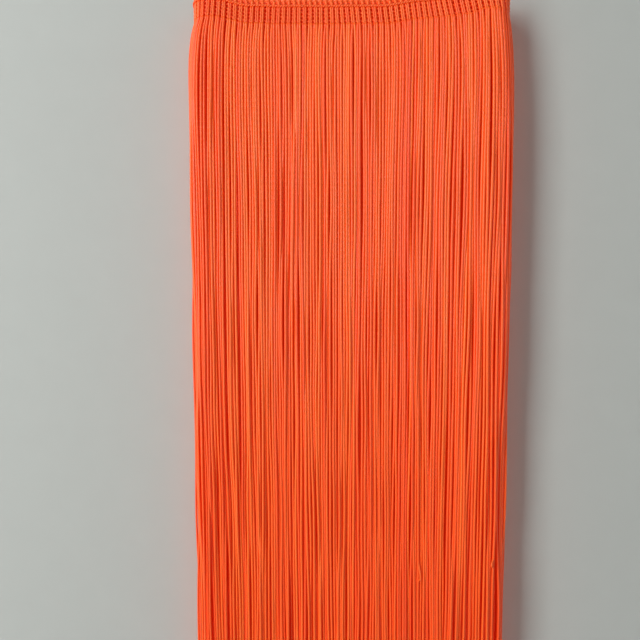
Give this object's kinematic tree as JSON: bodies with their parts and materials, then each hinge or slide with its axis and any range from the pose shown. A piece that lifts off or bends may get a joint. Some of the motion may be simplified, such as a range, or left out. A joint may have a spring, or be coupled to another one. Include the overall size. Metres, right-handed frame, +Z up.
{
  "type": "tassel fringe trim",
  "caption": "Long tassel fringe trim: a narrow ribbed heading with close hanging strands, wound in a flat hank and hung by its top edge.",
  "frame": {"origin": "middle of the heading's top edge, on the plane of the hank's back", "axes": "+Z up along the strands, +X to the right along the heading, -Y out of the hank's front"},
  "size_m": [0.1237, 0.0182, 0.3059],
  "materials": {
    "heading_yarn": "fine knitted synthetic yarn, fluorescent orange, soft sheen",
    "strand_yarn": "smooth twisted filament strands, fluorescent orange, satin sheen"
  },
  "bodies": {
    "root": {"heading": "heading_yarn", "fringe": "strand_yarn"}
  },
  "joints": []
}
